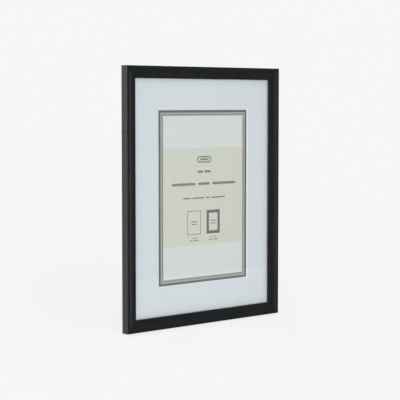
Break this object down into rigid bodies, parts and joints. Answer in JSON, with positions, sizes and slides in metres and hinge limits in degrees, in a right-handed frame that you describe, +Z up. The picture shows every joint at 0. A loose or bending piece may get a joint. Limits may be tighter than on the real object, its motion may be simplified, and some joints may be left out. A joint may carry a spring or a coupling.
{
  "type": "photo frame",
  "caption": "Free-standing photo frame with a scooped black moulding, flat glass, white mount, paper insert, and a back board with turn buttons, a hinged strut and saw-tooth hangers.",
  "frame": {"origin": "on the floor, under the middle of the box of the standing frame with its strut open", "axes": "+Z up, -Y out of the front, +X to the right of a viewer in front; the frame leans back ten degrees"},
  "size_m": [0.1666, 0.0596, 0.2154],
  "materials": {
    "moulding": "satin black moulding, smooth",
    "glass": "clear flat picture glass, polished",
    "mount": "white mount board, bevel cut, matt",
    "insert": "printed paper, smooth matt",
    "board": "thin fibreboard faced with black paper",
    "steel": "zinc-plated stamped steel",
    "rivet": "plated rivet, smooth"
  },
  "bodies": {
    "frame": {"rail_left": "moulding", "rail_right": "moulding", "rail_top": "moulding", "rail_bottom": "moulding", "corner_nails": "steel", "glass_pane": "glass", "mount_board": "mount", "insert_sheet": "insert", "back_board": "board", "turn_button_screws": "steel", "hinge_board_leaf": "steel", "hinge_pin": "steel", "hinge_board_rivets": "rivet", "hanger_portrait": "steel", "hanger_landscape": "steel", "hanger_rivets": "rivet"},
    "strut": {"strut_leg": "board", "hinge_leg_leaf": "steel", "hinge_leg_rivets": "rivet"},
    "turn_button_1": {"turn_button_1": "steel"},
    "turn_button_2": {"turn_button_2": "steel"},
    "turn_button_3": {"turn_button_3": "steel"},
    "turn_button_4": {"turn_button_4": "steel"}
  },
  "joints": [
    {"name": "strut_hinge", "type": "hinge", "parent": "frame", "child": "strut", "pos_m": [0, 0.0028, 0.12753], "axis": [-1, 0, 0], "range_deg": [0, 20]},
    {"name": "turn_button_1_pivot", "type": "hinge", "parent": "frame", "child": "turn_button_1", "pos_m": [0.0795, -0.01236, 0.05278], "axis": [0, 0.9848, -0.1736], "continuous": true},
    {"name": "turn_button_2_pivot", "type": "hinge", "parent": "frame", "child": "turn_button_2", "pos_m": [0.0795, 0.00674, 0.16111], "axis": [0, 0.9848, -0.1736], "continuous": true},
    {"name": "turn_button_3_pivot", "type": "hinge", "parent": "frame", "child": "turn_button_3", "pos_m": [-0.0795, -0.01236, 0.05278], "axis": [0, 0.9848, -0.1736], "continuous": true},
    {"name": "turn_button_4_pivot", "type": "hinge", "parent": "frame", "child": "turn_button_4", "pos_m": [-0.0795, 0.00674, 0.16111], "axis": [0, 0.9848, -0.1736], "continuous": true}
  ]
}
